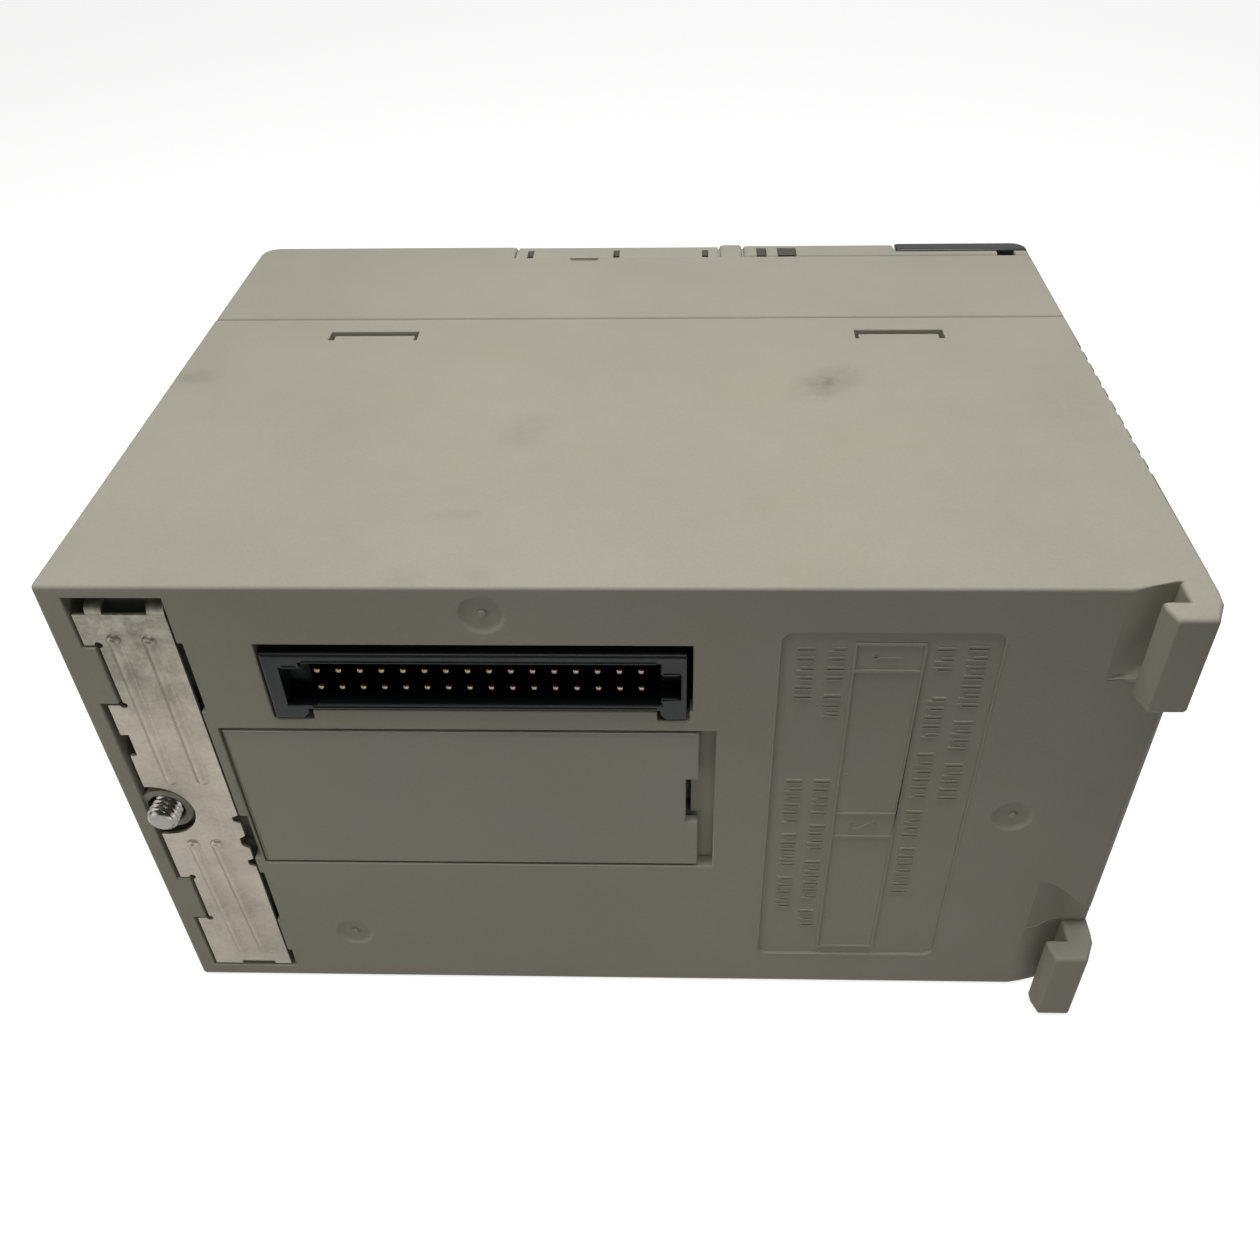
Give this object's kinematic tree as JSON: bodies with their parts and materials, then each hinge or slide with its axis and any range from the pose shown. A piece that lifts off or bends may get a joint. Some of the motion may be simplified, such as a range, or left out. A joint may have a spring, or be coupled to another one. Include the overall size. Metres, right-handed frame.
{
  "type": "plc module",
  "caption": "Rack-mounted controller module in a grey-beige case, with rear hooks, ground plate, backplane connector, battery cover, front doors, ports and indicators.",
  "frame": {"origin": "middle of the bounding box's footprint, on the left side face that the module lies on", "axes": "+X up the unit towards the mounting hooks, -Y out of the rear face that seats on the backplane, +Y out of the front, +Z from the unit's left side to its right side; the module is stored lying on its left side"},
  "size_m": [0.13, 0.1032, 0.073],
  "materials": {
    "case_plastic": "fine moulded texture, warm grey beige",
    "door_plastic": "fine moulded texture, warm grey beige",
    "tinned_steel": "dull mottled tin plate",
    "nickel_plate": "bright nickel plate",
    "black_plastic": "black moulding with a faint blue cast",
    "contact_gold": "gold plated contacts",
    "circuit_board": "green solder mask",
    "chip_body": "black moulded package",
    "smoked_panel": "dark smoked plastic",
    "clear_plastic": "clear light guide",
    "lamp_green": "diffused lamp",
    "lamp_red": "diffused lamp",
    "cell_wrap": "shrink sleeve",
    "lead_cover": "insulated wire",
    "white_plastic": "off-white moulding"
  },
  "bodies": {
    "case": {"rear_case": "case_plastic", "front_case": "case_plastic", "indicator_bezel": "case_plastic", "option_cover": "door_plastic", "ground_plate": "tinned_steel", "connector_shroud": "black_plastic", "connector_pins": "contact_gold", "battery_cell": "cell_wrap", "battery_lead": "lead_cover", "battery_plug": "white_plastic", "battery_socket": "white_plastic", "connector_board": "circuit_board", "riser_board": "circuit_board", "main_board": "circuit_board", "interface_board": "circuit_board", "stacking_header": "black_plastic", "cpu_chip": "chip_body", "logic_chip": "chip_body", "memory_chip_1": "chip_body", "memory_chip_2": "chip_body", "crystal": "nickel_plate", "capacitor": "chip_body", "memory_socket": "black_plastic", "memory_cassette": "chip_body", "dip_switch_body": "black_plastic", "peripheral_connector": "black_plastic", "option_socket": "black_plastic", "dsub_shell": "nickel_plate", "dsub_insert": "black_plastic", "dsub_jack_1": "nickel_plate", "dsub_jack_2": "nickel_plate", "indicator_led_1": "lamp_green", "indicator_led_2": "lamp_red", "indicator_led_3": "lamp_green", "indicator_led_4": "lamp_green", "light_guide": "clear_plastic", "indicator_window": "smoked_panel", "board_spacer_1": "nickel_plate", "board_screw_1": "nickel_plate", "board_spacer_2": "nickel_plate", "board_screw_2": "nickel_plate", "board_spacer_3": "nickel_plate", "board_screw_3": "nickel_plate", "board_spacer_4": "nickel_plate", "board_screw_4": "nickel_plate"},
    "screw_slider": {"screw_ring": "nickel_plate"},
    "screw": {"mounting_screw": "nickel_plate"},
    "battery_cover": {"battery_cover": "door_plastic"},
    "memory_door": {"memory_door": "door_plastic"},
    "port_door": {"port_door": "door_plastic"},
    "dip_lever_1": {"dip_lever_1": "white_plastic"},
    "dip_lever_2": {"dip_lever_2": "white_plastic"},
    "dip_lever_3": {"dip_lever_3": "white_plastic"},
    "dip_lever_4": {"dip_lever_4": "white_plastic"},
    "dip_lever_5": {"dip_lever_5": "white_plastic"},
    "dip_lever_6": {"dip_lever_6": "white_plastic"}
  },
  "joints": [
    {"name": "screw_slide", "type": "slide", "parent": "case", "child": "screw_slider", "axis": [0, -1, 0], "range_m": [-0.0018, 0.004]},
    {"name": "screw_turn", "type": "hinge", "parent": "screw_slider", "child": "screw", "pos_m": [-0.0602, -0.03535, 0.0364], "axis": [0, 1, 0], "continuous": true},
    {"name": "battery_cover_slide", "type": "slide", "parent": "case", "child": "battery_cover", "axis": [1, 0, 0], "range_m": [0, 0.0017]},
    {"name": "memory_door_hinge", "type": "hinge", "parent": "case", "child": "memory_door", "pos_m": [-0.0039, 0.04965, 0.0018], "axis": [-1, 0, 0], "range_deg": [0, 90]},
    {"name": "port_door_hinge", "type": "hinge", "parent": "case", "child": "port_door", "pos_m": [0.0224, 0.04995, 0.051], "axis": [0, 0, 1], "range_deg": [0, 90]},
    {"name": "dip_lever_1_slide", "type": "slide", "parent": "case", "child": "dip_lever_1", "axis": [0, 0, 1], "range_m": [0, 0.0016]},
    {"name": "dip_lever_2_slide", "type": "slide", "parent": "case", "child": "dip_lever_2", "axis": [0, 0, 1], "range_m": [0, 0.0016]},
    {"name": "dip_lever_3_slide", "type": "slide", "parent": "case", "child": "dip_lever_3", "axis": [0, 0, 1], "range_m": [0, 0.0016]},
    {"name": "dip_lever_4_slide", "type": "slide", "parent": "case", "child": "dip_lever_4", "axis": [0, 0, 1], "range_m": [0, 0.0016]},
    {"name": "dip_lever_5_slide", "type": "slide", "parent": "case", "child": "dip_lever_5", "axis": [0, 0, 1], "range_m": [0, 0.0016]},
    {"name": "dip_lever_6_slide", "type": "slide", "parent": "case", "child": "dip_lever_6", "axis": [0, 0, 1], "range_m": [0, 0.0016]}
  ]
}
